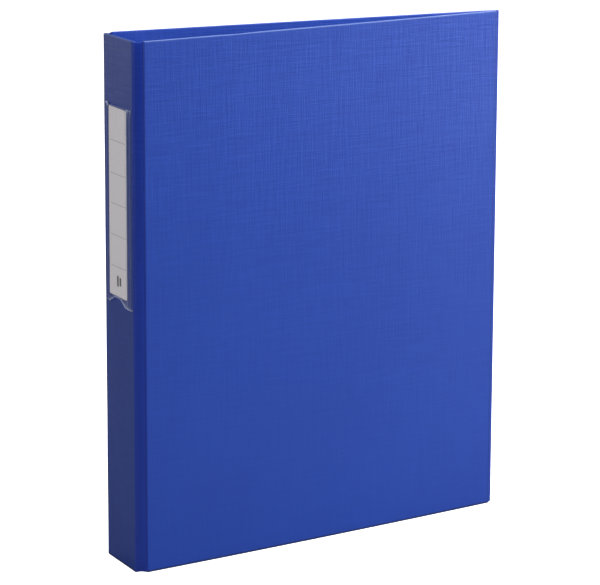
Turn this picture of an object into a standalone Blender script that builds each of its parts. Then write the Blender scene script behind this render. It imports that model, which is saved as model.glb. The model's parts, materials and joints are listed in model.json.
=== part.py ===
"""A4 ring binder of foil-covered board, standing upright and closed, with a four-ring mechanism inside.

Metres, +Z up. The spine faces -X and the covers reach towards +X. The front cover is on the -Y side, the
back cover, which carries the ring mechanism, on the +Y side. The origin is the middle of the footprint.

Seen from above, each side of the case is a chain of flat pieces that fold about vertical creases: the spine,
a hinge strip of welded foil, and a cover. Each crease has an empty on its axis, which its pieces hang from.
"""

from math import asin, cos, hypot, pi, radians, sin, tan

import bmesh
import bpy
from mathutils import Matrix, Vector

FRONT, BACK = -1, 1
SIDE_NAMES = {FRONT: "front", BACK: "back"}

# Case
HEIGHT = 0.318
SPINE_WIDTH = 0.0426  # crease to crease
STRIP_WIDTH = 0.0057  # crease to crease
COVER_LENGTH = 0.260  # crease to fore edge
STRIP_SPLAY = {FRONT: radians(24), BACK: radians(26)}  # outwards from +X
FORE_EDGE_Y = 0.018  # the closed covers meet this far towards the back
PANEL = 0.0022  # foil, board and foil
FOIL = 0.00025
WELD_RIM = 0.0012  # the foils' welded edge round each board
FACE_GAP = 0.0001  # between a board and the foil on its face
GAP = 0.0003  # between other pieces that touch
CREASE_DEPTH = 0.0005  # the crease lies this far below the outer faces
CREASE_GAP = 0.0006  # from the crease to the edge of a panel
STRIP_THICKNESS = 0.0007
STRIP_RECESS = 0.0004  # the strip stops short of the case's top and bottom

# Label pocket, welded to the outside of the spine; widths run along the spine, towards the back cover
POCKET_BOTTOM, POCKET_TOP = 0.1588, 0.2775
POCKET_HALF_WIDTH = 0.0188
POCKET_SEAM = 0.0042
POCKET_FILM = 0.0002
POCKET_STOP = 0.0048  # height of the welded corners that the card stands on
CARD_WIDTH, CARD_HEIGHT, CARD_THICKNESS = 0.0256, 0.1125, 0.0003
CARD_CENTRE = 0.0015
CARD_PLAY = 0.00015
THUMB_NOTCH_CENTRE = 0.0010
THUMB_NOTCH_WIDTH, THUMB_NOTCH_HEIGHT = 0.0235, 0.0060

# Ring mechanism. Its own frame: X towards the spine, Y away from the back cover, Z up
MECHANISM_FROM_CREASE = 0.030
MECHANISM_LENGTH = 0.272
EAR_LENGTH = 0.005
HOUSING_HALF_WIDTH = 0.0105
HOUSING_HEIGHT = 0.0065
HOUSING_WALL_HEIGHT = 0.0032
SHEET = 0.0007
HEM_WIDTH, HEM_HEIGHT = 0.0014, 0.0022
RING_PITCH = 0.080
RING_HEIGHTS = [(place - 1.5) * RING_PITCH for place in range(4)]
WIRE_RADIUS = 0.0014
WIRE_SLOT = (0.0055, 0.0115, 0.0034, 0.0020)  # from, to, bottom and half length

BOW, POST = 1, -1  # the curved ring half turns towards the spine, the straight one away from it
CARRIER_PIVOT = (0.0092, 0.0030)
CARRIER_WIDTH = 0.00905
CARRIER_THICKNESS = 0.0009
CARRIER_LENGTH = 0.270
CARRIER_TILT = radians(6.9)
RING_TOP = 0.031
RING_SPLIT = -0.00135
RING_CORNERS = {
    BOW: [(0.0074, 0.0036), (0.0074, 0.0054), (0.0150, 0.0072), (0.0150, RING_TOP)],
    POST: [(-0.0074, 0.0036), (-0.0074, 0.0054), (-0.0114, 0.0068), (-0.0102, RING_TOP)],
}
RING_RADII = {BOW: [0.0016, 0.0040, 0.0145], POST: [0.0016, 0.0018, 0.0050]}
ARC_STEP = 0.0018  # length of the pieces that a bent wire's arcs are made of

FASTENER_HEIGHT = 0.127  # above and below the middle of the mechanism
POST_RADIUS, POST_BORE, POST_NECK = 0.0025, 0.00135, 0.0019
RIVET_SHANK, RIVET_HEAD = 0.0011, 0.0045
COVER_HOLE = 0.0016

TRIGGER_PIVOT = (0.0024, 0.1385)  # from the cover, and above and below the middle
TRIGGER_SHEET = 0.0009
TRIGGER_TAB_WIDTH, TRIGGER_FINGER_WIDTH = 0.014, 0.0046
TRIGGER_BARREL, TRIGGER_STUB = 0.0014, 0.0008

# Materials: colour, roughness, metallic
BLUE_FOIL = ("blue_foil", (0.045, 0.085, 0.36, 1), 0.42, 0.0)
GREYBOARD = ("greyboard", (0.32, 0.30, 0.27, 1), 0.9, 0.0)
CLEAR_FILM = ("clear_film", (0.80, 0.84, 0.90, 1), 0.12, 0.0)
CARD = ("label_card", (0.62, 0.60, 0.59, 1), 0.7, 0.0)
NICKEL = ("nickel_plate", (0.72, 0.71, 0.69, 1), 0.22, 1.0)


# ---------------------------------------------------------------- helpers


def clear_scene():
    for obj in list(bpy.data.objects):
        bpy.data.objects.remove(obj, do_unlink=True)


def material(kind):
    """The Principled material of this kind, made on its first use."""
    name, colour, roughness, metallic = kind
    found = bpy.data.materials.get(name)
    if found:
        return found
    made = bpy.data.materials.new(name)
    made.use_nodes = True
    shader = made.node_tree.nodes["Principled BSDF"]
    shader.inputs["Base Color"].default_value = colour
    shader.inputs["Roughness"].default_value = roughness
    shader.inputs["Metallic"].default_value = metallic
    made.diffuse_color = colour
    return made


def axis_empty(name, parent, location, rotation=(0, 0, 0)):
    """An empty that marks a frame or a joint's axis."""
    empty = bpy.data.objects.new(name, None)
    empty.empty_display_size = 0.01
    empty.parent = parent
    empty.location = location
    empty.rotation_euler = rotation
    bpy.context.collection.objects.link(empty)
    return empty


def mesh_object(name, bm, parent, kind):
    """Turns a bmesh into a named object with its material."""
    bmesh.ops.recalc_face_normals(bm, faces=bm.faces)
    mesh = bpy.data.meshes.new(name)
    bm.to_mesh(mesh)
    bm.free()
    obj = bpy.data.objects.new(name, mesh)
    bpy.context.collection.objects.link(obj)
    obj.parent = parent
    mesh.materials.append(material(kind))
    return obj


def smooth(obj, angle=radians(35)):
    obj.data.shade_smooth()
    obj.data.set_sharp_from_angle(angle=angle)
    return obj


def cutter_object(name, bm, parent):
    """A helper that only a Boolean modifier reads."""
    cutter = mesh_object(name, bm, parent, GREYBOARD)
    cutter.hide_render = True
    cutter.display_type = "WIRE"
    return cutter


def boolean(obj, other, operation="DIFFERENCE"):
    modifier = obj.modifiers.new(f"{operation.lower()}_{other.name}", "BOOLEAN")
    modifier.operation = operation
    modifier.solver = "EXACT"
    modifier.object = other


def add_block(bm, low, high):
    """Adds a box between two corners, which may come in either order, and returns its vertices."""
    low, high = Vector(low), Vector(high)
    size = [abs(side) for side in high - low]
    place = Matrix.Translation((low + high) / 2) @ Matrix.Diagonal((*size, 1))
    return bmesh.ops.create_cube(bm, size=1, matrix=place)["verts"]


def block(low, high):
    bm = bmesh.new()
    add_block(bm, low, high)
    return bm


def add_rod(bm, centre, radius, length, axis, segments=24):
    """Adds a cylinder whose axis is X, Y or Z."""
    turn = {"X": Matrix.Rotation(pi / 2, 4, "Y"), "Y": Matrix.Rotation(pi / 2, 4, "X"), "Z": Matrix()}
    bmesh.ops.create_cone(
        bm,
        cap_ends=True,
        segments=segments,
        radius1=radius,
        radius2=radius,
        depth=length,
        matrix=Matrix.Translation(centre) @ turn[axis],
    )


def extruded(outline, along):
    """The solid that a closed outline of 3-D points sweeps along a vector."""
    bm = bmesh.new()
    base = bm.faces.new([bm.verts.new(point) for point in outline])
    swept = bmesh.ops.extrude_face_region(bm, geom=[base])
    corners = [item for item in swept["geom"] if isinstance(item, bmesh.types.BMVert)]
    bmesh.ops.translate(bm, vec=Vector(along), verts=corners)
    return bm


def turned(profile, segments=28):
    """The solid that a profile of (radius, height) points makes when it turns about Y."""
    bm = bmesh.new()
    points = [bm.verts.new((radius, height, 0)) for radius, height in profile]
    edges = [bm.edges.new(pair) for pair in zip(points, points[1:])]
    bmesh.ops.spin(
        bm,
        geom=points + edges,
        cent=(0, 0, 0),
        axis=(0, 1, 0),
        angle=2 * pi,
        steps=segments,
        use_merge=True,
    )
    bmesh.ops.remove_doubles(bm, verts=bm.verts, dist=1e-7)
    return bm


def arc(centre, radii, start, end, steps):
    """Points of an elliptical arc in the XY plane."""
    turns = [start + (end - start) * step / steps for step in range(steps + 1)]
    return [(centre[0] + radii[0] * cos(t), centre[1] + radii[1] * sin(t)) for t in turns]


def rounded_path(corners, radii):
    """The way through these corners with each inner one turned into an arc of its radius."""
    corners = [Vector(corner) for corner in corners]
    points = [corners[0]]
    for before, corner, after, radius in zip(corners, corners[1:], corners[2:], radii):
        back = (before - corner).normalized()
        on = (after - corner).normalized()
        half = back.angle(on) / 2
        middle = corner + (back + on).normalized() * radius / sin(half)
        start = corner + back * radius / tan(half) - middle
        end = corner + on * radius / tan(half) - middle
        steps = max(4, round(start.angle(end) * radius / ARC_STEP))
        spokes = [start.slerp(end, step / steps) for step in range(steps + 1)]
        points += [middle + radius * spoke for spoke in spokes]
    return points + [corners[-1]]


def strip_outline(path, thickness):
    """The outline of a bent strip of this thickness, whose middle follows a 2-D path."""
    path = [Vector(point) for point in path]
    left, right = [], []
    for i, point in enumerate(path):
        before = (point - path[i - 1]).normalized() if i else (path[1] - point).normalized()
        after = (path[i + 1] - point).normalized() if i + 1 < len(path) else before
        across = Vector((-(before + after).y, (before + after).x)).normalized()
        reach = thickness / 2 / across.dot(Vector((-before.y, before.x)))
        left.append(point + across * reach)
        right.append(point - across * reach)
    return left + right[::-1]


# ---------------------------------------------------------------- case


def crease_places(side):
    """The two creases of one side of the case, with the spine's outer face on x = 0."""
    spine_crease = Vector((CREASE_DEPTH, side * SPINE_WIDTH / 2))
    splay = STRIP_SPLAY[side]
    cover_crease = spine_crease + STRIP_WIDTH * Vector((cos(splay), side * sin(splay)))
    return spine_crease, cover_crease


def closing_angle(side):
    """How far the closed cover leans inwards, so that the inner faces just meet at the fore edge."""
    crease_y = side * crease_places(side)[1].y
    meeting_y = side * FORE_EDGE_Y + GAP / 2
    inner_face = PANEL - CREASE_DEPTH
    reach = hypot(COVER_LENGTH, inner_face)
    return asin((crease_y - meeting_y) / reach) - asin(inner_face / reach)


def panel(name, frame, side, start, end):
    """A board between an outer and an inner foil, each a shallow tray; returns the three objects.

    The panel runs from start to end along the frame's X, and its outer face is on the side's Y.
    """

    def corner(x, depth, z):
        return Vector((x, side * (CREASE_DEPTH - depth), z))

    middle = PANEL / 2
    inwards = Vector((0, -side, 0))
    outer = block(corner(start, 0, 0), corner(end, middle - GAP / 2, HEIGHT))
    sink_face(outer, inwards, WELD_RIM, middle - GAP / 2 - FOIL)
    inner = block(corner(start, middle + GAP / 2, 0), corner(end, PANEL, HEIGHT))
    sink_face(inner, -inwards, WELD_RIM, middle - GAP / 2 - FOIL)
    inset = WELD_RIM + GAP
    skin = FOIL + FACE_GAP
    board = block(
        corner(start + inset, skin, inset), corner(end - inset, PANEL - skin, HEIGHT - inset)
    )
    return [
        mesh_object(f"{name}_outer_foil", outer, frame, BLUE_FOIL),
        mesh_object(f"{name}_board", board, frame, GREYBOARD),
        mesh_object(f"{name}_inner_foil", inner, frame, BLUE_FOIL),
    ]


def sink_face(bm, direction, rim, depth):
    """Sinks the face that looks along a direction, and leaves a rim round it."""
    bm.normal_update()
    face = max(bm.faces, key=lambda candidate: candidate.normal.dot(direction))
    bmesh.ops.inset_region(bm, faces=[face], thickness=rim)
    floor = bmesh.ops.extrude_discrete_faces(bm, faces=[face])["faces"][0]
    bmesh.ops.translate(bm, vec=-direction * depth, verts=floor.verts)


def hinge_strip(side, frame):
    """The band of welded foil between the spine and a cover."""
    half = STRIP_THICKNESS / 2
    low = (CREASE_GAP / 2, -half, STRIP_RECESS)
    high = (STRIP_WIDTH - CREASE_GAP / 2, half, HEIGHT - STRIP_RECESS)
    mesh_object(f"{SIDE_NAMES[side]}_hinge_strip", block(low, high), frame, BLUE_FOIL)


def case_side(side, root):
    """One hinge strip and its cover; returns the cover's frame and its three pieces."""
    spine_crease, cover_crease = crease_places(side)
    splay = side * STRIP_SPLAY[side]
    name = SIDE_NAMES[side]
    strip_frame = axis_empty(
        f"{name}_strip_axis", root, (*spine_crease, 0), (0, 0, splay)
    )
    hinge_strip(side, strip_frame)
    turn = -side * closing_angle(side) - splay
    cover_frame = axis_empty(
        f"{name}_cover_axis", strip_frame, (STRIP_WIDTH, 0, 0), (0, 0, turn)
    )
    pieces = panel(f"{name}_cover", cover_frame, side, CREASE_GAP, COVER_LENGTH)
    return cover_frame, pieces


def spine(root):
    """The spine's panel; in its frame, X runs towards the back cover and Y out of the spine."""
    frame = axis_empty("spine_frame", root, (CREASE_DEPTH, 0, 0), (0, 0, pi / 2))
    half = SPINE_WIDTH / 2 - CREASE_GAP
    panel("spine", frame, BACK, -half, half)
    return frame


def label_pocket(frame):
    """A clear film welded to the spine along both sides and at its lower corners, open at the top."""
    face = CREASE_DEPTH + FACE_GAP
    slot = face + FACE_GAP + CARD_THICKNESS + 2 * CARD_PLAY
    body = block(
        (-POCKET_HALF_WIDTH, face, POCKET_BOTTOM),
        (POCKET_HALF_WIDTH, slot + POCKET_FILM, POCKET_TOP),
    )
    pocket = mesh_object("label_pocket", body, frame, CLEAR_FILM)
    half = POCKET_HALF_WIDTH - POCKET_SEAM
    hollow = block((-half, 0, POCKET_BOTTOM + POCKET_STOP), (half, slot, HEIGHT))
    boolean(pocket, cutter_object("pocket_hollow", hollow, frame))
    notch = bmesh.new()
    add_rod(notch, (0, 0, 0), 1, 0.01, "Y", segments=32)
    scale = (THUMB_NOTCH_WIDTH / 2, 1, THUMB_NOTCH_HEIGHT)
    bmesh.ops.scale(notch, vec=scale, verts=notch.verts)
    thumb = cutter_object("thumb_notch", notch, frame)
    thumb.location = (THUMB_NOTCH_CENTRE, 0, POCKET_BOTTOM - 0.0002)
    boolean(pocket, thumb)


def label_card(frame):
    """The card that slides up out of the pocket."""
    card_frame = axis_empty(
        "card_slide", frame, (CARD_CENTRE, CREASE_DEPTH + FACE_GAP, POCKET_BOTTOM + POCKET_STOP)
    )
    face = FACE_GAP + CARD_PLAY
    low = (-CARD_WIDTH / 2, face, GAP)
    high = (CARD_WIDTH / 2, face + CARD_THICKNESS, GAP + CARD_HEIGHT)
    mesh_object("label_card", block(low, high), card_frame, CARD)


# ---------------------------------------------------------------- ring mechanism


def housing_outline():
    """Half of the housing's arch with its hem, mirrored into a whole one: (x, y) points."""
    half, wall = HOUSING_HALF_WIDTH, HOUSING_WALL_HEIGHT
    outer = arc((0, wall), (half, HOUSING_HEIGHT - wall), 0, pi, 20)
    inner = arc((0, wall), (half - SHEET, HOUSING_HEIGHT - SHEET - wall), pi, 0, 20)
    hem = [
        (half - SHEET, HEM_HEIGHT),
        (half - HEM_WIDTH, HEM_HEIGHT),
        (half - HEM_WIDTH, GAP),
        (half, GAP),
    ]
    other_hem = [(-x, y) for x, y in reversed(hem)]
    return outer + other_hem + inner + hem


def housing_openings():
    """Everything that is cut out of the housing's arch."""
    bm = bmesh.new()
    start, end, bottom, half_length = WIRE_SLOT
    top = HOUSING_HEIGHT + 0.001
    for side in (BOW, POST):
        for z in RING_HEIGHTS:
            low = (side * start, bottom, z - half_length)
            add_block(bm, low, (side * end, top, z + half_length))
    half = HOUSING_HALF_WIDTH - SHEET - 0.0001
    for end in (-1, 1):
        fastener = (0, HOUSING_HEIGHT, end * FASTENER_HEIGHT)
        add_rod(bm, fastener, POST_NECK + GAP, 0.004, "Y")
        ear = end * MECHANISM_LENGTH / 2
        add_block(bm, (-half, 0, ear), (half, top, ear + end * (EAR_LENGTH + 0.001)))
    return bm


def trigger_pivot_holes():
    bm = bmesh.new()
    for end in (-1, 1):
        pivot = (0, TRIGGER_PIVOT[0], end * TRIGGER_PIVOT[1])
        add_rod(bm, pivot, TRIGGER_STUB + 0.0002, 0.03, "X", segments=16)
    return bm


def housing(frame):
    """The arched steel cover that holds the two carriers in its hems and the triggers in its ears."""
    length = MECHANISM_LENGTH + 2 * EAR_LENGTH
    outline = [(x, y, -length / 2) for x, y in housing_outline()]
    body = mesh_object("mechanism_housing", extruded(outline, (0, 0, length)), frame, NICKEL)
    boolean(body, cutter_object("housing_openings", housing_openings(), frame))
    boolean(body, cutter_object("trigger_pivot_holes", trigger_pivot_holes(), frame))
    smooth(body)


def carrier_frame(side, frame):
    x, y = CARRIER_PIVOT
    name = {BOW: "bow_carrier_axis", POST: "post_carrier_axis"}[side]
    return axis_empty(name, frame, (side * x, y, 0))


def carrier(side, pivot):
    """The steel blade under the housing that carries one half of each ring."""
    name = {BOW: "bow_carrier", POST: "post_carrier"}[side]
    half = CARRIER_THICKNESS / 2
    low = (0.0001 * side, -half, -CARRIER_LENGTH / 2)
    high = (-side * CARRIER_WIDTH, half, CARRIER_LENGTH / 2)
    blade = mesh_object(name, block(low, high), pivot, NICKEL)
    blade.rotation_euler.z = side * CARRIER_TILT
    clearance = bmesh.new()
    for end in (-1, 1):
        place = (-side * CARRIER_PIVOT[0], 0, end * FASTENER_HEIGHT)
        add_rod(clearance, place, POST_RADIUS + 0.0008, 0.01, "Y")
    boolean(blade, cutter_object(f"{name}_notches", clearance, pivot))


def ring_half(side, number, z, pivot):
    """One bent wire from the carrier up through the housing to the split at the ring's top."""
    name = {BOW: "bow", POST: "post"}[side]
    tip = (RING_SPLIT + side * GAP / 2, RING_TOP)
    path = rounded_path(RING_CORNERS[side] + [tip], RING_RADII[side])
    curve = bpy.data.curves.new(f"ring_{number}_{name}", "CURVE")
    curve.dimensions = "3D"
    curve.fill_mode = "FULL"
    curve.bevel_depth = WIRE_RADIUS
    curve.bevel_resolution = 3
    curve.use_fill_caps = True
    spline = curve.splines.new("POLY")
    spline.points.add(len(path) - 1)
    spline.use_smooth = True
    x, y = CARRIER_PIVOT
    for place, point in zip(spline.points, path):
        place.co = (point.x - side * x, point.y - y, z, 1)
    curve.materials.append(material(NICKEL))
    wire = bpy.data.objects.new(f"ring_{number}_{name}", curve)
    wire.parent = pivot
    bpy.context.collection.objects.link(wire)


def carriers_and_rings(frame):
    for side in (BOW, POST):
        pivot = carrier_frame(side, frame)
        carrier(side, pivot)
        for number, z in enumerate(reversed(RING_HEIGHTS), start=1):
            ring_half(side, number, z, pivot)


def mounting_post(name, frame, z):
    """The hollow post that holds the housing off the cover; its head is spread over the crown."""
    shoulder = HOUSING_HEIGHT - SHEET - GAP
    head = HOUSING_HEIGHT + GAP
    profile = [
        (POST_BORE, GAP),
        (POST_RADIUS, GAP),
        (POST_RADIUS, shoulder),
        (POST_NECK, shoulder),
        (POST_NECK, head),
        (0.0032, head),
        (0.0031, head + 0.0004),
        (0.0024, head + 0.0008),
        (0, head + 0.0009),
    ]
    bore_end = [(0, 0.0050), (POST_BORE, 0.0050), (POST_BORE, GAP)]
    post = mesh_object(name, turned(profile + bore_end), frame, NICKEL)
    post.location.z = z
    smooth(post)


def rivet(name, frame, z):
    """The rivet whose domed head shows outside the back cover, and whose shank fills the post."""
    face = -PANEL - FACE_GAP
    rise = 0.0011
    dome = arc((0, face - 0.0003), (RIVET_HEAD, rise - 0.0003), -pi / 2, 0, 6)
    profile = dome + [(RIVET_HEAD, face), (RIVET_SHANK, face), (RIVET_SHANK, 0.0046), (0, 0.0046)]
    made = mesh_object(name, turned(profile), frame, NICKEL)
    made.location.z = z
    smooth(made)


def fasteners(frame, cover_pieces):
    """A post and a rivet near each end of the housing, and their holes through the back cover."""
    holes = bmesh.new()
    for name, end in (("top", 1), ("bottom", -1)):
        z = end * FASTENER_HEIGHT
        mounting_post(f"mounting_post_{name}", frame, z)
        rivet(f"mounting_rivet_{name}", frame, z)
        add_rod(holes, (0, 0, z), COVER_HOLE, 0.008, "Y")
    cutter = cutter_object("cover_holes", holes, frame)
    for piece in cover_pieces:
        boolean(piece, cutter)


def trigger(name, frame, end):
    """The bent lever at one end of the housing: a tab to press and a finger that lifts the carriers."""
    height, distance = TRIGGER_PIVOT
    turn = 0 if end > 0 else pi
    pivot = axis_empty(f"{name}_axis", frame, (0, height, end * distance), (0, turn, 0))
    tab_path = rounded_path([(-0.0006, -0.0004), (0.0072, 0.0108), (0.0108, 0.0122)], [0.003])
    half = TRIGGER_TAB_WIDTH / 2
    outline = [(-half, y, z) for z, y in strip_outline(tab_path, TRIGGER_SHEET)]
    lever = mesh_object(name, extruded(outline, (2 * half, 0, 0)), pivot, NICKEL)
    finger = bmesh.new()
    half = TRIGGER_FINGER_WIDTH / 2
    add_block(finger, (-half, -0.0019, -0.0060), (half, -0.0010, 0.0008))
    barrel = bmesh.new()
    inside = 2 * (HOUSING_HALF_WIDTH - SHEET - 2 * GAP)
    add_rod(barrel, (0, 0, 0), TRIGGER_BARREL, inside, "X", segments=20)
    stub = bmesh.new()
    add_rod(stub, (0, 0, 0), TRIGGER_STUB, 2 * HOUSING_HALF_WIDTH - 0.0002, "X", segments=16)
    for part, bm in (("finger", finger), ("barrel", barrel), ("stub", stub)):
        boolean(lever, cutter_object(f"{name}_{part}", bm, pivot), "UNION")
    smooth(lever)


def ring_mechanism(cover_frame, cover_pieces):
    """The whole mechanism, riveted to the inner face of the back cover."""
    place = (MECHANISM_FROM_CREASE, CREASE_DEPTH - PANEL, HEIGHT / 2)
    frame = axis_empty("mechanism_frame", cover_frame, place, (0, 0, pi))
    housing(frame)
    carriers_and_rings(frame)
    fasteners(frame, cover_pieces)
    trigger("top_trigger", frame, 1)
    trigger("bottom_trigger", frame, -1)


# ---------------------------------------------------------------- whole binder


def centre_on_footprint(root):
    """Moves the root so that the origin is the middle of the footprint; the rings lie inside it."""
    bpy.context.view_layer.update()
    graph = bpy.context.evaluated_depsgraph_get()
    corners = []
    for obj in bpy.context.scene.objects:
        if obj.type != "MESH" or obj.hide_render:
            continue
        found = obj.evaluated_get(graph)
        corners += [found.matrix_world @ Vector(corner) for corner in found.bound_box]
    for axis in (0, 1):
        values = [corner[axis] for corner in corners]
        root.location[axis] = -(min(values) + max(values)) / 2


def main():
    clear_scene()
    root = axis_empty("ring_binder", None, (0, 0, 0))
    spine_frame = spine(root)
    label_pocket(spine_frame)
    label_card(spine_frame)
    case_side(FRONT, root)
    back_frame, back_pieces = case_side(BACK, root)
    ring_mechanism(back_frame, back_pieces)
    centre_on_footprint(root)


main()
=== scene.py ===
"""Looks of the A4 ring binder: foil-covered boards, welded hinges, label pocket and nickel mechanism.

Metres, in the CAD model's frame. Panels, hinge foil, pocket and card are finer meshes that replace their
CAD nodes; the sheet steel and the rings keep their CAD shapes with rounded edges; posts and rivets are the
CAD nodes themselves.
"""

import json
from math import cos, exp, pi, radians, sin

import bmesh
import bpy
from mathutils import Matrix, Vector


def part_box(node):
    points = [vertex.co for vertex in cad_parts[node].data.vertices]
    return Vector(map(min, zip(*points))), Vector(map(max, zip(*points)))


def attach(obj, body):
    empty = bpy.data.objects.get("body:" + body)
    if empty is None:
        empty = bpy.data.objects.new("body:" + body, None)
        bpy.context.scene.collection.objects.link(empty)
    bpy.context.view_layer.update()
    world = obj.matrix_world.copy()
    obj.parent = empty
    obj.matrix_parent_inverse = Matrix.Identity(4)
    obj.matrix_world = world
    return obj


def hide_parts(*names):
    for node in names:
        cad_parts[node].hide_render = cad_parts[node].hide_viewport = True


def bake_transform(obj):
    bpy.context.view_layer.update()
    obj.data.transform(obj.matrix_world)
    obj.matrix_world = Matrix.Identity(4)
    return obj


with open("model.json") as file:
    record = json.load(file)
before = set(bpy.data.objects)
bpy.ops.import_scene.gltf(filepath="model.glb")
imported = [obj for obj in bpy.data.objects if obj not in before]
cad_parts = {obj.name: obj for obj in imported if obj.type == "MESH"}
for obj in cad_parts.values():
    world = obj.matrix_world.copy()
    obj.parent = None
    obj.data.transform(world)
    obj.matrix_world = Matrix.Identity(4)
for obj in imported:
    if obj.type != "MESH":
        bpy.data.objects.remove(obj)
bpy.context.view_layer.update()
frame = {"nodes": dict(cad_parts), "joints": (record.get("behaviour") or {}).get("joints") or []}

# Panels: a board between two skins, welded all round
EDGE_ROUND = 0.00035
CORNER_ROUND = 0.0005
WELD_BEAD = 0.00012  # how far the weld stands out of the edge
WELD_HALF = 0.00012  # half the bead's thickness
WELD_WOBBLE = 0.00006
WELD_GAP = 0.00002
RIM = 0.0012  # width of the weld between the edge and the board
SKIN = 0.00022
BOARD_CLEARANCE = 0.00006
FRONT_BOW = 0.0014
FRONT_DENT = (0.063, 0.010, 0.00030)  # a dip in the top edge: distance from the hinge, width, depth

# Hinge foil: (along the strip from the spine's crease, depth of its outer face, thickness)
HINGE_WIDTH = 0.0057
HINGE_END_DIP = 0.0005  # how far the strip's middle is pulled in at its two ends
HINGE_DIP_FADE = 60  # over the strip's whole height
HINGE_RIPPLE = 0.00004
HINGE_STEPS = 40
HINGE_SPINE_HALF = (
    (-0.00045, 0.00015, 0.00025),
    (-0.00020, 0.00010, 0.00034),
    (0.00010, 0.00003, 0.00040),
    (0.00050, -0.00010, 0.00048),
    (0.00110, -0.00022, 0.00054),
    (0.00200, -0.00030, 0.00058),
    (0.00285, -0.00033, 0.00060),
)
HINGE_COVER_HALF = (
    (0.00285, -0.00033, 0.00060),
    (0.00370, -0.00030, 0.00058),
    (0.00440, -0.00023, 0.00052),
    (0.00495, -0.00010, 0.00044),
    (0.00530, 0.00004, 0.00038),
    (0.00560, 0.00012, 0.00036),
    (0.00585, 0.00011, 0.00032),
    (0.00605, 0.00005, 0.00026),
    (0.00622, -0.00003, 0.00020),
)
HINGE_LAP = (  # from a panel's edge over its outer face: (distance, how far it stands off, thickness)
    (0.00002, 0.00002, 0.00012),
    (0.00018, 0.00005, 0.00009),
    (0.00034, 0.00005, 0.00005),
)

# Label pocket; widths from its middle, towards the back cover
POCKET_HALF = 0.0187
POCKET_SHIFT = -0.0010  # the pocket sits nearer the front cover than the spine's middle
POCKET_FILM = 0.00014
POCKET_FLARE = 0.0012  # how far the mouth's pulled corner stands up
SEAM_INNER = 0.0143
SEAM_OUTER = 0.0185
SEAM_BASE = 0.00003  # the seams' foil hovers this far over the spine's
POCKET_PROFILE = (  # distance from the middle: how far the film stands off the spine
    (0.0000, 0.00088),
    (0.0125, 0.00088),
    (0.0137, 0.00070),
    (0.0147, 0.00030),
    (0.0153, 0.00034),
    (0.0166, 0.00072),
    (0.0172, 0.00072),
    (0.0183, 0.00036),
    (0.0187, 0.00024),
)
POCKET_STREAKS = (  # lines down the film, milky and with painted highlights: strength, place, width
    (0.15, -0.0126, 0.0009),
    (0.15, 0.0146, 0.0004),
    (0.06, -0.0108, 0.0007),
    (0.06, 0.0138, 0.0006),
    (0.05, -0.0168, 0.0008),
    (0.05, 0.0168, 0.0008),
)
POCKET_BOTTOM = (  # the cut edge's height, with the arch for the thumb
    (-0.0188, 0.15900),
    (-0.0154, 0.15885),
    (-0.0102, 0.15925),
    (-0.0062, 0.16120),
    (-0.0030, 0.16280),
    (0.0016, 0.16340),
    (0.0062, 0.16290),
    (0.0094, 0.16130),
    (0.0138, 0.15910),
    (0.0188, 0.15960),
)

CARD_CORNER = 0.0009
CARD_SHIFT = -0.0015  # the card's middle lies nearer the front cover than in the CAD
CARD_TILT = radians(0.3)  # the card leans a little in its pocket
LABEL_LINES = (0.2567, 0.2371, 0.2191, 0.2005, 0.18175)  # heights of the card's ruled lines
LABEL_BARS = (  # the two printed marks: start across the card, bottom and top
    (-0.0026, 0.1708, 0.1758),
    (0.0011, 0.1700, 0.1765),
)
BAR_WIDTH = 0.0024

# Steel pieces: node, body and how far their edges are rounded
FORMED_STEEL = (
    ("mechanism_housing", "back_cover", 0.00012),
    ("bow_carrier", "bow_side", 0.00012),
    ("post_carrier", "post_side", 0.00012),
    ("top_trigger", "top_lever", 0.00018),
    ("bottom_trigger", "bottom_lever", 0.00018),
)
RING_EDGE = 0.00022

# The foil in the embossing's valleys, darkened as painted shade, and on its threads
FOIL_DARK = (0.0132, 0.0635, 0.450)
FOIL_LIGHT = (0.0212, 0.0840, 0.525)
# Painted highlight: the pale blue that whitens the panels' top edges
TOP_EDGE_HIGHLIGHT = (0.35, 0.50, 0.78, 1)

# Linen threads per metre: across a thread, through the foil and along it
FINE_UPRIGHT = (1900, 260, 80)
FINE_LEVEL = (80, 260, 1900)
COARSE_UPRIGHT = (560, 100, 38)
COARSE_LEVEL = (38, 100, 620)


# ---------------------------------------------------------------- material graphs


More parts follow.
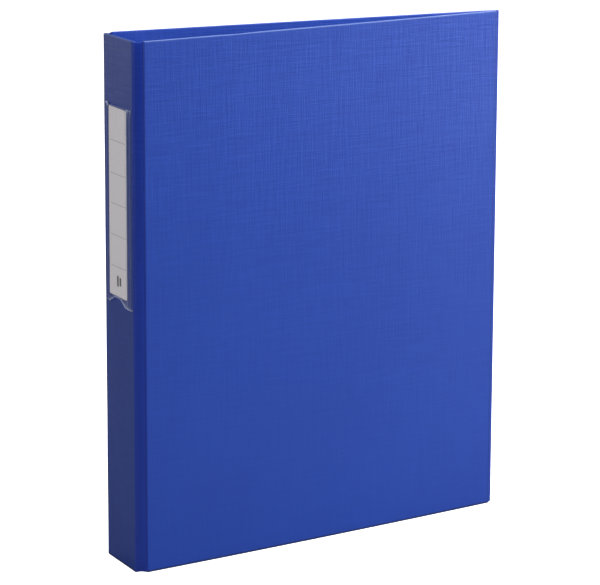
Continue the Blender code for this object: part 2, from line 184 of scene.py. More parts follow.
class Graph:
    """A material's node tree, built one node at a time."""

    def __init__(self, name, **constants):
        self.material = bpy.data.materials.new(name)
        self.material.use_nodes = True
        self.tree = self.material.node_tree
        self.shader = self.tree.nodes["Principled BSDF"]
        for socket, value in constants.items():
            self.shader.inputs[socket.replace("_", " ")].default_value = value

    def add(self, kind, inputs, output=0, **settings):
        node = self.tree.nodes.new(kind)
        for setting, value in settings.items():
            setattr(node, setting, value)
        for socket, value in inputs.items():
            self.put(node.inputs[socket], value)
        return node.outputs[output]

    def put(self, socket, value):
        if isinstance(value, bpy.types.NodeSocket):
            self.tree.links.new(value, socket)
        else:
            socket.default_value = value

    def math(self, operation, *values):
        return self.add("ShaderNodeMath", dict(enumerate(values)), operation=operation)

    def position(self):
        """The point in the piece's own frame."""
        return self.add("ShaderNodeTexCoord", {}, output=3)

    def along(self, axis):
        """One coordinate of the point: 0, 1 or 2 for X, Y or Z."""
        return self.add("ShaderNodeSeparateXYZ", {0: self.position()}, output=axis)

    def noise(self, scale, detail=2.0, roughness=0.5):
        """Noise whose grain is 1/scale metres along each axis."""
        stretched = self.add("ShaderNodeMapping", {"Vector": self.position(), "Scale": scale})
        inputs = {
            "Vector": stretched,
            "Scale": 1.0,
            "Detail": detail,
            "Roughness": roughness,
        }
        return self.add("ShaderNodeTexNoise", inputs)

    def spread(self, value, low, high, new_low, new_high):
        """A value between low and high, stretched to lie between the new ones."""
        inputs = {0: value, 1: low, 2: high, 3: new_low, 4: new_high}
        return self.add("ShaderNodeMapRange", inputs)

    def mix(self, share, first, second):
        """A colour between two others."""
        inputs = {0: share, 6: first, 7: second}
        return self.add("ShaderNodeMix", inputs, output=2, data_type="RGBA")

    def bump(self, height, strength, distance, before=None):
        inputs = {"Height": height, "Strength": strength, "Distance": distance}
        if before is not None:
            inputs["Normal"] = before
        return self.add("ShaderNodeBump", inputs)

    def finish(self, **links):
        for socket, value in links.items():
            self.put(self.shader.inputs[socket.replace("_", " ")], value)
        return self.material


def linen_height(graph):
    """An irregular weave of long upright and level threads, fine over coarse; about 0 to 1."""
    upright = graph.noise(FINE_UPRIGHT, detail=2.5, roughness=0.6)
    level = graph.noise(FINE_LEVEL, detail=2.5, roughness=0.6)
    coarse_upright = graph.noise(COARSE_UPRIGHT, detail=1.5)
    coarse_level = graph.noise(COARSE_LEVEL, detail=1.5)
    fine = graph.math("MULTIPLY_ADD", upright, 0.75, level)
    coarse = graph.math("MULTIPLY_ADD", coarse_upright, 0.85, coarse_level)
    both = graph.math("MULTIPLY_ADD", coarse, 0.8, fine)
    return graph.spread(both, 1.10, 2.15, 0.0, 1.0)


def relief_and_painted_shade_by_height(graph):
    """How strongly the embossing shows, in bump depth and in the painted shade of its valleys: least near
    the bottom, most near the top, where the key light grazes it.
    """
    upright = graph.along(2)
    lower = graph.spread(upright, 0.03, 0.18, 0.55, 0.90)
    upper = graph.spread(upright, 0.18, 0.285, 0.0, 0.85)
    return graph.math("ADD", lower, upper)


def foil_material(name, linen, tint=1.0, roughness=0.40, hue=(1, 1, 1), size=None, edges=(0, 0, 0)):
    """Blue PVC foil; linen is the strength of its embossing.

    With a panel's size, its bottom edge is darkened; edges gives how much its near and far ends are
    darkened and how much its top edge is whitened as a painted highlight.
    """
    graph = Graph(name, IOR=1.46)
    relief_and_shade_share = relief_and_painted_shade_by_height(graph)
    weave = linen_height(graph)
    # Painted shade: the weave's valleys darker than its threads, more so towards the top
    shown = graph.math("MULTIPLY_ADD", graph.math("SUBTRACT", weave, 0.5), relief_and_shade_share, 0.5)
    low, high = (
        (*(level * tint * share for level, share in zip(levels, hue)), 1)
        for levels in (FOIL_DARK, FOIL_LIGHT)
    )
    base = graph.mix(shown, low, high)
    blotch = graph.spread(graph.noise((9, 9, 9), detail=3), 0.3, 0.7, 0.0, 1.0)
    shade = graph.mix(blotch, (0.95, 0.96, 0.97, 1), (1.04, 1.04, 1.03, 1))
    colour = graph.add("ShaderNodeVectorMath", {0: base, 1: shade}, operation="MULTIPLY")
    # Edges darkened, and the top edge whitened as a painted highlight
    if size:
        colour = darken_edges_paint_top_highlight(graph, colour, size, edges)
    rolling = graph.bump(graph.noise((22, 22, 16), detail=2), 0.35, 0.0011)
    embossed = graph.bump(weave, linen, graph.math("MULTIPLY", relief_and_shade_share, 0.00016), rolling)
    grained = graph.bump(graph.noise((6000, 6000, 6000), detail=1), 0.10, 0.00002, embossed)
    gloss = graph.spread(weave, 0.0, 1.0, roughness + 0.06, roughness - 0.04)
    return graph.finish(Base_Color=colour, Roughness=gloss, Normal=grained)


def darken_edges_paint_top_highlight(graph, colour, size, edges):
    """Darkens a panel's bottom, near and far edges, and whitens its top one as a painted highlight."""
    length, height = size
    near, far, top = edges
    across = graph.along(0)
    upright = graph.along(2)
    light = graph.spread(upright, 0.0005, 0.0018, 0.2, 1.0)
    for strength, start, end in ((near, 0.0002, 0.0016), (far, length - 0.0002, length - 0.0016)):
        light = graph.math("MULTIPLY", light, graph.spread(across, start, end, 1 - strength, 1.0))
    dark = graph.add("ShaderNodeVectorMath", {0: colour, "Scale": light}, operation="SCALE")
    # Painted highlight: the top edge whitened towards a pale blue
    top_highlight_share = graph.spread(upright, height - 0.0010, height - 0.0004, 0.0, top)
    return graph.mix(top_highlight_share, dark, TOP_EDGE_HIGHLIGHT)


def board_material():
    """Grey recycled board with flecks."""
    graph = Graph("greyboard", IOR=1.4)
    flecks = graph.noise((1500, 1500, 1500), detail=4, roughness=0.7)
    plies = graph.noise((60, 5200, 60), detail=2)
    both = graph.math("MULTIPLY_ADD", plies, 0.5, flecks)
    base = graph.mix(
        graph.spread(both, 0.5, 1.0, 0, 1), (0.20, 0.185, 0.165, 1), (0.42, 0.40, 0.37, 1)
    )
    return graph.finish(Base_Color=base, Roughness=0.92, Normal=graph.bump(both, 0.5, 0.00008))


def steel_material(name, grain_scale, roughness):
    """Nickel-plated steel with a faint grain from rolling or drawing, and a few dull patches."""
    graph = Graph(name, Metallic=1.0)
    grain = graph.noise(grain_scale, detail=3, roughness=0.65)
    patches = graph.noise((60, 60, 60), detail=2)
    base = graph.mix(
        graph.spread(patches, 0.35, 0.7, 0, 1), (0.72, 0.71, 0.69, 1), (0.68, 0.665, 0.64, 1)
    )
    dull = graph.math("MULTIPLY_ADD", graph.spread(grain, 0.3, 0.7, 0, 1), 0.10, roughness - 0.03)
    gloss = graph.math("MULTIPLY_ADD", graph.spread(patches, 0.4, 0.8, 0, 1), 0.04, dull)
    return graph.finish(Base_Color=base, Roughness=gloss, Normal=graph.bump(grain, 0.05, 0.00003))


def film_material():
    """Clear soft film: almost unseen where it is flat, milky and with painted highlights where it is
    creased, cut or stands free.
    """
    graph = Graph("clear_film", IOR=1.45, Roughness=0.22, Specular_IOR_Level=0.3)
    # Painted highlights and haze, set on the pocket's vertices, make the pale film show
    haze_and_highlight = graph.add("ShaderNodeAttribute", {}, output=2, attribute_name="haze_and_highlight")
    haze = graph.noise((420, 420, 60), detail=3)
    alpha = graph.math("MULTIPLY", haze_and_highlight, graph.spread(haze, 0.3, 0.7, 0.4, 1.6))
    alpha = graph.math("ADD", alpha, 0.03)
    ripples = graph.noise((160, 160, 60), detail=2)
    normal = graph.bump(ripples, 0.3, 0.0003)
    return graph.finish(Base_Color=(0.52, 0.58, 0.80, 1), Alpha=alpha, Normal=normal)


def band(graph, value, low, high, soft=0.00008):
    """1 where the value lies between low and high, with soft ends."""
    rise = graph.spread(value, low - soft, low + soft, 0, 1)
    fall = graph.spread(value, high - soft, high + soft, 1, 0)
    return graph.math("MULTIPLY", rise, fall)


def card_material(middle_y):
    """Greyish white card with five ruled lines and, in the lowest cell, two plain marks."""
    line_half = 0.00022
    mark_blur = 0.0004
    graph = Graph("label_card", IOR=1.45)
    upright = graph.along(2)
    across = graph.along(1)
    ink = 0.0
    for line in LABEL_LINES:
        ink = graph.math("ADD", ink, band(graph, upright, line - line_half, line + line_half))
    ruled = band(graph, across, middle_y - 0.0100, middle_y + 0.0118)
    ink = graph.math("MULTIPLY", graph.math("MULTIPLY", ink, ruled), 0.44)
    for start, bottom, top in LABEL_BARS:
        bar = band(graph, across, middle_y + start, middle_y + start + BAR_WIDTH, mark_blur)
        tall = band(graph, upright, bottom, top, mark_blur)
        ink = graph.math("MAXIMUM", ink, graph.math("MULTIPLY", bar, tall))
    fibre = graph.noise((900, 900, 900), detail=4, roughness=0.7)
    paper = graph.mix(fibre, (0.81, 0.765, 0.78, 1), (0.87, 0.825, 0.835, 1))
    colour = graph.mix(ink, paper, (0.10, 0.10, 0.105, 1))
    return graph.finish(Base_Color=colour, Roughness=0.6, Normal=graph.bump(fibre, 0.3, 0.00004))


# ---------------------------------------------------------------- meshes


def make_piece(name, bm, place, material, body, replaced, sharp=40):
    """Turns a bmesh, in the coordinates of place, into a piece that rides on a body."""
    obj = make_object(name, bm, place, material, sharp)
    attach(obj, body)
    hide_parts(*replaced)


def make_object(name, bm, place, material, sharp=40):
    bmesh.ops.recalc_face_normals(bm, faces=bm.faces)
    mesh = bpy.data.meshes.new(name)
    bm.to_mesh(mesh)
    bm.free()
    mesh.shade_smooth()
    mesh.set_sharp_from_angle(angle=radians(sharp))
    mesh.materials.append(material)
    obj = bpy.data.objects.new(name, mesh)
    bpy.context.scene.collection.objects.link(obj)
    obj.matrix_world = place
    return obj


def bridge(bm, first, second):
    """Quads between two closed loops of the same length."""
    for i in range(len(first)):
        j = (i + 1) % len(first)
        bm.faces.new((first[i], first[j], second[j], second[i]))


def grid_lines(length, cells):
    """Positions along a side: a short cell at each end, where the corner is rounded."""
    inner = length - 2 * CORNER_ROUND
    return [0, *(CORNER_ROUND + inner * i / cells for i in range(cells + 1)), length]


def cad_points(node):
    return [vertex.co.copy() for vertex in frame["nodes"][node].data.vertices]


def widest_normal(node):
    polygons = frame["nodes"][node].data.polygons
    return max(polygons, key=lambda polygon: polygon.area).normal.copy()


class Panel:
    """Where a board panel lies: its frame, with X along it, Y across it and Z up, and its size."""

    def __init__(self, name, outwards):
        outer, inner = f"{name}_outer_foil", f"{name}_inner_foil"
        normal = widest_normal(outer)
        if normal.dot(Vector(outwards)) < 0:
            normal = -normal
        along = normal.cross(Vector((0, 0, 1)))
        if along.dot(Vector((1, 1, 0))) < 0:
            along = -along
        self.side = -1 if along.cross(normal).z < 0 else 1
        across = Vector((0, 0, 1)).cross(along)
        points = cad_points(outer) + cad_points(inner)
        lows = [min(point.dot(axis) for point in points) for axis in (along, across)]
        highs = [max(point.dot(axis) for point in points) for axis in (along, across)]
        corner = along * lows[0] + across * (lows[1] + highs[1]) / 2
        rotation = Matrix((along, across, Vector((0, 0, 1)))).transposed().to_4x4()
        self.matrix = Matrix.Translation(corner) @ rotation
        self.length = highs[0] - lows[0]
        self.thickness = highs[1] - lows[1]
        self.height = max(point.z for point in points)
        self.name = name
        self.dent = None

    def outer_point(self, x, z, lift=0.0):
        """A world point on, or above, the outer face."""
        return self.matrix @ Vector((x, self.side * (self.thickness / 2 + lift), z))


def panel_layer(bm, panel, cells, inset, height, bow):
    """A whole grid of vertices, inset from the panel's edges, at a height over its middle plane."""
    xs, zs = grid_lines(panel.length, cells[0]), grid_lines(panel.height, cells[1])
    rows = []
    for i, x in enumerate(xs):
        row = []
        for j, z in enumerate(zs):
            corner = i in (0, len(xs) - 1) and j in (0, len(zs) - 1)
            row.append(bm.verts.new(place_point(panel, x, z, inset, height, bow, corner)))
        rows.append(row)
    return rows


def place_point(panel, x, z, inset, height, bow, corner):
    half_x, half_z = panel.length / 2, panel.height / 2
    u, v = (x - half_x) / half_x, (z - half_z) / half_z
    point_x = half_x + u * (half_x - inset)
    point_z = half_z + v * (half_z - inset)
    if corner:
        cut = CORNER_ROUND * (1 - cos(pi / 4))
        point_x -= u * cut
        point_z -= v * cut
    if panel.dent and z == panel.height:
        dent_x, dent_width, dent_depth = panel.dent
        point_z -= dent_depth * bell(x, dent_x, dent_width)
    bulge = panel.side * bow * (1 - u * u)
    return Vector((point_x, height + bulge, point_z))


def rim_of(rows):
    """The vertices round a grid, in order."""
    last_i, last_j = len(rows) - 1, len(rows[0]) - 1
    loop = [rows[i][0] for i in range(last_i)]
    loop += [rows[last_i][j] for j in range(last_j)]
    loop += [rows[i][last_j] for i in range(last_i, 0, -1)]
    loop += [rows[0][j] for j in range(last_j, 0, -1)]
    return loop


def fill_grid(bm, rows):
    for i in range(len(rows) - 1):
        for j in range(len(rows[0]) - 1):
            bm.faces.new((rows[i][j], rows[i + 1][j], rows[i + 1][j + 1], rows[i][j + 1]))


def panel_loop(bm, panel, cells, inset, height, bow, wobble=0.0):
    """Only the rim of such a grid, with a wobble that makes a weld look pressed by hand."""
    xs, zs = grid_lines(panel.length, cells[0]), grid_lines(panel.height, cells[1])
    last_i, last_j = len(xs) - 1, len(zs) - 1
    places = [(i, 0) for i in range(last_i)]
    places += [(last_i, j) for j in range(last_j)]
    places += [(i, last_j) for i in range(last_i, 0, -1)]
    places += [(0, j) for j in range(last_j, 0, -1)]
    loop = []
    for count, (i, j) in enumerate(places):
        corner = i in (0, last_i) and j in (0, last_j)
        push = wobble * (0.5 + 0.3 * sin(1.7 * count) + 0.2 * sin(4.1 * count + 1))
        point = place_point(panel, xs[i], zs[j], inset + push, height, bow, corner)
        loop.append(bm.verts.new(point))
    return loop


def skin_mesh(panel, sign, cells, bow):
    """One foil: a face, rounded edges down to the weld bead, and the hollow that the board fills."""
    top = panel.thickness / 2
    bm = bmesh.new()
    face = panel_layer(bm, panel, cells, WELD_BEAD + EDGE_ROUND, sign * top, bow)
    fill_grid(bm, face)
    loops = [rim_of(face)]
    for step in range(1, 5):
        angle = pi / 2 * step / 4
        inset = WELD_BEAD + EDGE_ROUND * (1 - sin(angle))
        height = top - EDGE_ROUND * (1 - cos(angle))
        loops.append(panel_loop(bm, panel, cells, inset, sign * height, bow))
    bead = [
        (WELD_BEAD, 2.4 * WELD_HALF),
        (0.3 * WELD_BEAD, 1.5 * WELD_HALF),
        (0.0, 0.7 * WELD_HALF),
        (0.0, WELD_GAP),
        (RIM, WELD_GAP),
        (RIM, top - SKIN),
    ]
    for inset, height in bead:
        wobble = WELD_WOBBLE if inset < WELD_BEAD else 0.0
        loops.append(panel_loop(bm, panel, cells, inset, sign * height, bow, wobble))
    for first, second in zip(loops, loops[1:]):
        bridge(bm, first, second)
    under = panel_layer(bm, panel, cells, RIM, sign * (top - SKIN), bow)
    fill_grid(bm, under)
    for outer, inner in zip(loops[-1], rim_of(under)):
        bmesh.ops.pointmerge(bm, verts=[outer, inner], merge_co=inner.co)
    return bm


def board_mesh(panel, cells, bow):
    half = panel.thickness / 2 - SKIN - BOARD_CLEARANCE
    bm = bmesh.new()
    inset = RIM + BOARD_CLEARANCE
    layers = [panel_layer(bm, panel, cells, inset, sign * half, bow) for sign in (1, -1)]
    for layer in layers:
        fill_grid(bm, layer)
    bridge(bm, rim_of(layers[0]), rim_of(layers[1]))
    return bm


def build_panel(panel, body, cells, materials, bow=0.0):
    """The outer skin, board and inner skin of one panel, in place of their CAD nodes."""
    outer, inner, board = materials
    name = panel.name
    for label, sign, material in (("outer", panel.side, outer), ("inner", -panel.side, inner)):
        bm = skin_mesh(panel, sign, cells, bow)
        make_piece(
            f"{name}_{label}_skin", bm, panel.matrix, material, body,
            [f"{name}_{label}_foil"],
        )
    bm = board_mesh(panel, (cells[0] // 2, 2), bow)
    make_piece(f"{name}_core", bm, panel.matrix, board, body, [f"{name}_board"])


# ---------------------------------------------------------------- curves


def smooth_points(points, steps):
    """Points on a smooth curve that passes through every given one."""
    points = [Vector(point) for point in points]
    ends = [points[0] * 2 - points[1], *points, points[-1] * 2 - points[-2]]
    found = []
    for before, start, end, after in zip(ends, ends[1:], ends[2:], ends[3:]):
        for step in range(steps):
            u = step / steps
            leave, arrive = (end - before) / 2, (after - start) / 2
            found.append(
                start * (2 * u**3 - 3 * u**2 + 1)
                + leave * (u**3 - 2 * u**2 + u)
                + end * (3 * u**2 - 2 * u**3)
                + arrive * (u**3 - u**2)
            )
    return [*found, points[-1]]


def value_at(table, x):
    """The value of a curve at x, from (x, value) pairs; smooth between them and level beyond the ends."""
    if x <= table[0][0]:
        return table[0][1]
    for (x0, low), (x1, high) in zip(table, table[1:]):
        if x < x1:
            u = (x - x0) / (x1 - x0)
            return low + (high - low) * u * u * (3 - 2 * u)
    return table[-1][1]


def bell(x, middle, width):
    return exp(-(((x - middle) / width) ** 2))


# ---------------------------------------------------------------- hinge foil


def joint_place(name):
    joint = next(joint for joint in frame["joints"] if joint["name"] == name)
    return Vector(joint["pos_m"])


def hinge_lap(panel, at_end, start, along, inwards):
    """Where the foil laps onto a panel's outer face, in the strip's own measures."""
    edge, direction = (panel.length, -1) if at_end else (0.0, 1)
    found = []
    for distance, lift, thickness in HINGE_LAP:
        offset = panel.outer_point(edge + direction * distance, 0, lift) - start
        found.append((offset.dot(along), offset.dot(inwards), thickness))
    return found


def build_hinge(side, panels, material):
    """The foil between the spine and a cover: two pieces that meet at its middle."""
    start = joint_place(f"{side}_strip_fold")
    end = joint_place(f"{side}_cover_fold")
    start.z = end.z = 0
    along = (end - start).normalized()
    inwards = Vector((-along.y, along.x, 0))
    if inwards.y * start.y > 0:
        inwards = -inwards
    low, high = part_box(f"{side}_hinge_strip")
    strip = f"{side}_strip"
    spine_lap = hinge_lap(panels["spine"], side == "back", start, along, inwards)
    cover_lap = hinge_lap(panels[side], False, start, along, inwards)
    halves = (
        ("spine", "spine", strip, start, [*spine_lap[::-1], *HINGE_SPINE_HALF]),
        ("cover", strip, f"{side}_cover", end, [*HINGE_COVER_HALF, *cover_lap]),
    )
    for end_name, first, second, crease, stations in halves:
        section = smooth_points(stations, 4)
        bm = hinge_mesh(section, start, along, inwards, (low.z, high.z))
        piece = make_object(f"{side}_hinge_foil_{end_name}_half", bm, Matrix(), material, sharp=50)
        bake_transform(piece)
        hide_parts(f"{side}_hinge_strip")


def hinge_mesh(section, start, along, inwards, span):
    """The foil's section, (along the strip, depth, thickness), run from the bottom to the top."""
    low, high = span
    rounding = ((0.0, 0.5), (0.00010, 0.85), (0.00025, 1.0))
    height = high - low
    levels = list(rounding)
    levels += [(height * step / HINGE_STEPS, 1.0) for step in range(1, HINGE_STEPS)]
    levels += [(height - lift, thin) for lift, thin in reversed(rounding)]
    bm = bmesh.new()
    rings = []
    for lift, thin in levels:
        share = lift / height
        ring = []
        for sign in (-1, 1):
            for place, depth, thickness in section[::-sign]:
                middle = depth + thickness / 2 + HINGE_RIPPLE * sin(90 * lift + 700 * place)
                dip = HINGE_END_DIP * sin(pi * min(max(place / HINGE_WIDTH, 0), 1))
                fade = exp(-share * HINGE_DIP_FADE) - exp((share - 1) * HINGE_DIP_FADE)
                z = low + lift + dip * fade
                flat = start + along * place + inwards * (middle + sign * thin * thickness / 2)
                ring.append(bm.verts.new((flat.x, flat.y, z)))
        rings.append(ring)
    for first, second in zip(rings, rings[1:]):
        bridge(bm, first, second)
    count = len(section)
    for ring in (rings[0], rings[-1]):
        for i in range(count - 1):
            bm.faces.new((ring[i], ring[i + 1], ring[2 * count - 2 - i], ring[2 * count - 1 - i]))
    return bm


# ---------------------------------------------------------------- label pocket and card


def pocket_lift(y):
    """How far the film stands off the spine; y from the pocket's middle, towards the back cover."""
    return value_at(POCKET_PROFILE, abs(y))


def pocket_bottom(y):
    return value_at(POCKET_BOTTOM, y)


def pocket_film_lift(y, z, top):
    """The film's lift, with its curled feet, gaping mouth and creased corners."""
    above = z - pocket_bottom(y)
    below = top - z
    inside = 1 if abs(y) < 0.0140 else bell(abs(y), 0.0140, 0.0016)
    curl = 0.00022 * exp(-above / 0.0009) * inside
    gape = 0.00030 * exp(-below / 0.0022) * inside
    left = 0.00080 * bell(y, 0.0149 + 0.45 * (0.0012 - below), 0.0007) * exp(-below / 0.0016)
    right = 0.00050 * bell(y, -0.0137 - 0.1 * below, 0.0006) * exp(-below / 0.0018)
    corner = 0.00045 * bell(y, -0.0176, 0.0005) * exp(-below / 0.0012)
    ripple = 0.00003 * sin(300 * z + 250 * y) * inside
    return pocket_lift(y) + curl + gape + left + right + corner + ripple


def pocket_haze_and_highlight(y, z, top):
    """How milky the film looks, with painted highlights: where it is creased, cut, or stands over nothing.
    """
    above = z - pocket_bottom(y)
    below = top - z
    streaks = sum(strength * bell(y, place, width) for strength, place, width in POCKET_STREAKS)
    notch = 0.55 * exp(-above / 0.00045)
    feet = 0.35 * exp(-above / 0.0011) * (bell(y, -0.0100, 0.0030) + bell(y, 0.0135, 0.0026))
    mouth = 0.18 * exp(-below / 0.0004)
    left = bell(y, 0.0149 + 0.45 * (0.0012 - below), 0.0009) * exp(-below / 0.0018)
    right = bell(y, -0.0137, 0.0008) * exp(-below / 0.0016)
    corner = 0.8 * bell(y, -0.0176, 0.0005) * exp(-below / 0.0012)
    return min(streaks + notch + feet + mouth + 0.9 * (left + right + corner), 0.85)


def build_pocket_film(face_x, middle_y, top, material):
    """A thin closed sheet over the spine's face, cut at the bottom in an arch for the thumb."""
    ys = [POCKET_HALF * sin(pi / 2 * step / 44) for step in range(-44, 45)]
    close = (0.0, 0.008, 0.018, 0.032, 0.05, 0.075, 0.11)  # shares of the height, near a cut edge
    middle = [0.11 + 0.80 * step / 22 for step in range(1, 22)]
    shares = [*close, *middle, *(1 - share for share in reversed(close))]
    bm = bmesh.new()
    haze_and_highlight = bm.verts.layers.float.new("haze_and_highlight")
    sheets = []
    for under in (0.0, POCKET_FILM):
        rows = []
        for y in ys:
            bottom = pocket_bottom(y)
            row = []
            for share in shares:
                rise = POCKET_FLARE * bell(y, 0.0154, 0.0008) * share**30
                z = bottom + (top - bottom) * share + rise
                lift = pocket_film_lift(y, z, top) - under
                vertex = bm.verts.new((face_x - lift, middle_y + y, z))
                # Painted highlights and haze of the film at this vertex
                vertex[haze_and_highlight] = pocket_haze_and_highlight(y, z, top)
                row.append(vertex)
            rows.append(row)
        fill_grid(bm, rows)
        sheets.append(rows)
    bridge(bm, rim_of(sheets[0]), rim_of(sheets[1]))
    make_piece("label_pocket_film", bm, Matrix(), material, "spine", ["label_pocket"], 60)


def build_pocket_weld(name, sign, face_x, middle_y, top, material):
    """One of the pocket's side seams: spine foil raised in a ridge under the film."""
    lowest = POCKET_BOTTOM[0][1]
    length = top - lowest - 0.0004
    ys = [SEAM_INNER + (SEAM_OUTER - SEAM_INNER) * step / 24 for step in range(25)]
    close = (0.0, 0.0003, 0.0007)  # heights near a rounded end
    first = [*close, *(0.0007 + 0.0283 * step / 8 for step in range(1, 8))]
    middle = [0.029 + (length - 0.058) * step / 12 for step in range(13)]
    heights = [*first, *middle, *(length - height for height in reversed(first))]
    bm = bmesh.new()
    sheets = []
    for raised in (1, 0):
        rows = []
        for y in ys:
            bottom = pocket_bottom(sign * y)
            row = []
            for height in heights:
                edge = min(y - SEAM_INNER, SEAM_OUTER - y, height, length - height)
                rounded = min(1.0, 0.25 + edge / 0.0004)
                full = pocket_lift(y) - POCKET_FILM - 0.00004 + 0.00002 * sin(900 * height)
                lift = SEAM_BASE + raised * (full - SEAM_BASE) * rounded
                z = bottom + 0.0002 + height * (1 - (bottom - lowest) / length)
                row.append(bm.verts.new((face_x - lift, middle_y + sign * y, z)))
            rows.append(row)
        fill_grid(bm, rows)
        sheets.append(rows)
    bridge(bm, rim_of(sheets[0]), rim_of(sheets[1]))
    make_piece(name, bm, Matrix(), material, "spine", ["label_pocket"], 50)


def build_card(material):
    """The label card, with rounded corners and soft edges."""
    low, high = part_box("label_card")
    middle = (low + high) / 2 + Vector((0, CARD_SHIFT, 0))
    half = (high - low) / 2
    lean = Matrix.Rotation(CARD_TILT, 3, "X")
    bm = bmesh.new()
    loops = []
    for depth, inset in ((1.0, 0.00006), (0.6, 0.0), (-0.6, 0.0), (-1.0, 0.00006)):
        loop = []
        for quarter in range(4):
            across = 1 if quarter in (0, 3) else -1
            upright = 1 if quarter < 2 else -1
            for step in range(7):
                angle = pi / 2 * (quarter + step / 6)
                radius = CARD_CORNER - inset
                y = across * (half.y - CARD_CORNER) + radius * cos(angle)
                z = upright * (half.z - CARD_CORNER) + radius * sin(angle)
                loop.append(bm.verts.new(middle + lean @ Vector((-half.x * depth, y, z))))
        loops.append(loop)
    for first, second in zip(loops, loops[1:]):
        bridge(bm, first, second)
    bm.faces.new(loops[0])
    bm.faces.new(loops[-1])
    make_piece("ruled_label_card", bm, Matrix(), material, "label", ["label_card"], 30)


# ---------------------------------------------------------------- formed steel


def build_formed(node, body, rounding, material):
    """A steel piece in its CAD shape, with its cut edges tumbled round."""
    bm = bmesh.new()
    bm.from_mesh(frame["nodes"][node].data)
    bmesh.ops.remove_doubles(bm, verts=bm.verts, dist=1e-6)
    bmesh.ops.dissolve_limit(bm, angle_limit=radians(1), verts=bm.verts, edges=bm.edges)
    sharp = [
        corner
        for corner in bm.edges
        if corner.is_manifold and corner.calc_face_angle() > radians(40)
    ]
    bmesh.ops.bevel(
        bm,
        geom=sharp,
        offset=rounding,
        offset_type="OFFSET",
        segments=2,
        profile=0.5,
        affect="EDGES",
        clamp_overlap=True,
    )
    make_piece(f"{node}_formed", bm, Matrix(), material, body, [node], 45)


# ---------------------------------------------------------------- stage


def build_stage():
    """A pale floor and a white background; both are darker to every ray but the camera's."""
    bm = bmesh.new()
    bmesh.ops.create_grid(bm, x_segments=2, y_segments=2, size=9)
    graph = Graph("studio_floor", Roughness=0.9)
    seen = graph.add("ShaderNodeLightPath", {})
    colour = graph.mix(seen, (0.24, 0.24, 0.25, 1), (0.93, 0.93, 0.93, 1))
    white = (1, 1, 1, 1)
    material = graph.finish(Base_Color=colour, Emission_Color=white, Emission_Strength=seen)
    floor = make_object("studio_floor", bm, Matrix(), material)

    world = bpy.data.worlds.new("studio")
    bpy.context.scene.world = world
    world.use_nodes = True
    tree = world.node_tree
    background = tree.nodes["Background"]
    background.inputs["Color"].default_value = white
    path = tree.nodes.new("ShaderNodeLightPath")
    strength = tree.nodes.new("ShaderNodeMix")
    strength.inputs["A"].default_value = 0.05
    strength.inputs["B"].default_value = 1.0
    tree.links.new(path.outputs["Is Camera Ray"], strength.inputs["Factor"])
    tree.links.new(strength.outputs["Result"], background.inputs["Strength"])


def softbox(name, place, target, width, power):
    light = bpy.data.lights.new(name, "AREA")
    light.shape = "SQUARE"
    light.size = width
    light.energy = power
    obj = bpy.data.objects.new(name, light)
    bpy.context.scene.collection.objects.link(obj)
    obj.location = place
    obj.rotation_euler = (Vector(target) - Vector(place)).to_track_quat("-Z", "Y").to_euler()


def build_lights():
    """Softboxes: place, the point that each faces, its width in metres and its power in watts."""
    middle = (0.0, 0.0, 0.16)
    softbox("key", (0.64, -0.60, 0.93), middle, 0.45, 10.8)
    softbox("low_right", (1.7, -0.6, 0.12), (0.0, 0.0, 0.06), 0.7, 12.5)
    softbox("left", (-1.6, -0.3, 0.6), middle, 0.8, 9.5)
    softbox("rear_left", (-0.9, 1.75, 0.42), (-0.1, 0.0, 0.25), 1.0, 2.4)
    softbox("rear_right", (1.7, 1.4, 1.1), middle, 1.0, 20.0)
    softbox("overhead", (0.0, 0.1, 1.9), middle, 1.6, 20.0)


def build_camera(spine_x, spine_y):
    """The camera stands left of the front cover and looks slightly down at the closed binder."""
    yaw, pitch, roll = 1.10565, 0.20988, 0.00463
    forward = Vector((cos(yaw) * cos(pitch), sin(yaw) * cos(pitch), -sin(pitch)))
    level = Vector((sin(yaw), -cos(yaw), 0))
    upright = level.cross(forward)
    right = level * cos(roll) + upright * sin(roll)
    up = upright * cos(roll) - level * sin(roll)
    camera = bpy.data.cameras.new("camera")
    camera.lens = 182.1
    camera.sensor_width = 36
    camera.shift_x = -0.0159
    camera.shift_y = -0.0353
    obj = bpy.data.objects.new("camera", camera)
    bpy.context.scene.collection.objects.link(obj)
    matrix = Matrix((right, up, -forward)).transposed().to_4x4()
    matrix.translation = (spine_x - 0.68346, spine_y - 1.61129, 0.55188)
    obj.matrix_world = matrix
    bpy.context.scene.camera = obj


# ---------------------------------------------------------------- whole scene


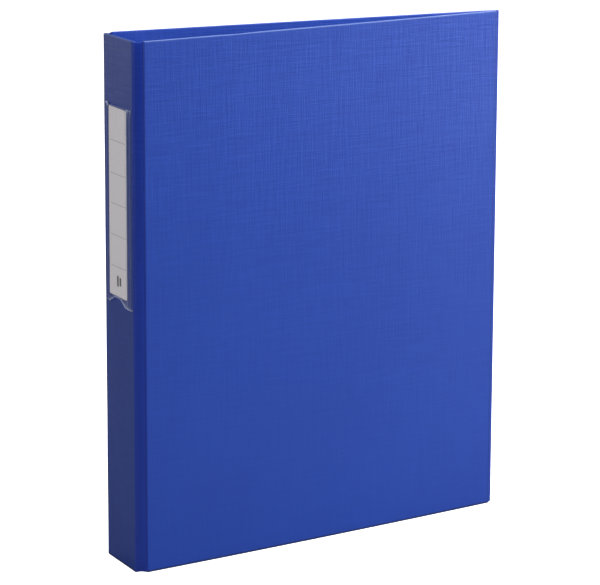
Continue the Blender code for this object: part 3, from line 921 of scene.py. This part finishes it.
panels = {
    "spine": Panel("spine", (-1, 0, 0)),
    "front": Panel("front_cover", (0, -1, 0)),
    "back": Panel("back_cover", (0, 1, 0)),
}
panels["front"].dent = FRONT_DENT
spine_size = (panels["spine"].length, panels["spine"].height)
cover_size = (panels["front"].length, panels["front"].height)

linen_foil = foil_material("linen_foil", 0.55, size=cover_size, edges=(0, 0.45, 0.30))
lining_foil = foil_material("lining_foil", 0.65, tint=1.22, roughness=0.42, hue=(1.5, 1.1, 0.95))
# Tint 0.56: a darker copy of the foil, painted shade on the spine
spine_foil = foil_material(
    "spine_foil", 0.22, tint=0.56, roughness=0.34, size=spine_size, edges=(0, 0.9, 0.15)
)
hinge_foil = foil_material("hinge_foil", 0.12, tint=0.80, roughness=0.36, hue=(0.75, 0.72, 1))
# Tint 0.50: a darker copy of the foil, painted shade in the pocket's valleys beside the seams
seam_foil = foil_material("seam_foil", 0.10, tint=0.50, roughness=0.42)
greyboard = board_material()
sheet_steel = steel_material("sheet_steel", (900, 900, 30), 0.22)
wire_steel = steel_material("wire_steel", (400, 400, 400), 0.16)

cover_cells = (36, 44)
cover_materials = (linen_foil, lining_foil, greyboard)
build_panel(panels["spine"], "spine", (8, 40), (spine_foil, lining_foil, greyboard))
build_panel(panels["front"], "front_cover", cover_cells, cover_materials, FRONT_BOW)
build_panel(panels["back"], "back_cover", cover_cells, cover_materials)
for side in ("front", "back"):
    build_hinge(side, panels, hinge_foil)

spine_low, spine_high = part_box("spine_outer_foil")
spine_x = spine_low.x
spine_middle = (spine_low.y + spine_high.y) / 2
pocket_middle = spine_middle + POCKET_SHIFT
pocket_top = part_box("label_pocket")[1].z
build_pocket_film(spine_x, pocket_middle, pocket_top, film_material())
for side, sign in (("front", -1), ("back", 1)):
    seam = f"pocket_seam_{side}_side"
    build_pocket_weld(seam, sign, spine_x, pocket_middle, pocket_top, seam_foil)
build_card(card_material(spine_middle + CARD_SHIFT))

for node, body, rounding in FORMED_STEEL:
    build_formed(node, body, rounding, sheet_steel)
for number in range(1, 5):
    for half in ("bow", "post"):
        build_formed(f"ring_{number}_{half}", f"{half}_side", RING_EDGE, wire_steel)

for obj in frame["nodes"].values():
    if not obj.hide_render:
        obj.data.materials.clear()
        obj.data.materials.append(sheet_steel)

build_stage()
build_lights()
build_camera(spine_x, spine_middle)
bpy.context.scene.view_settings.view_transform = "Standard"
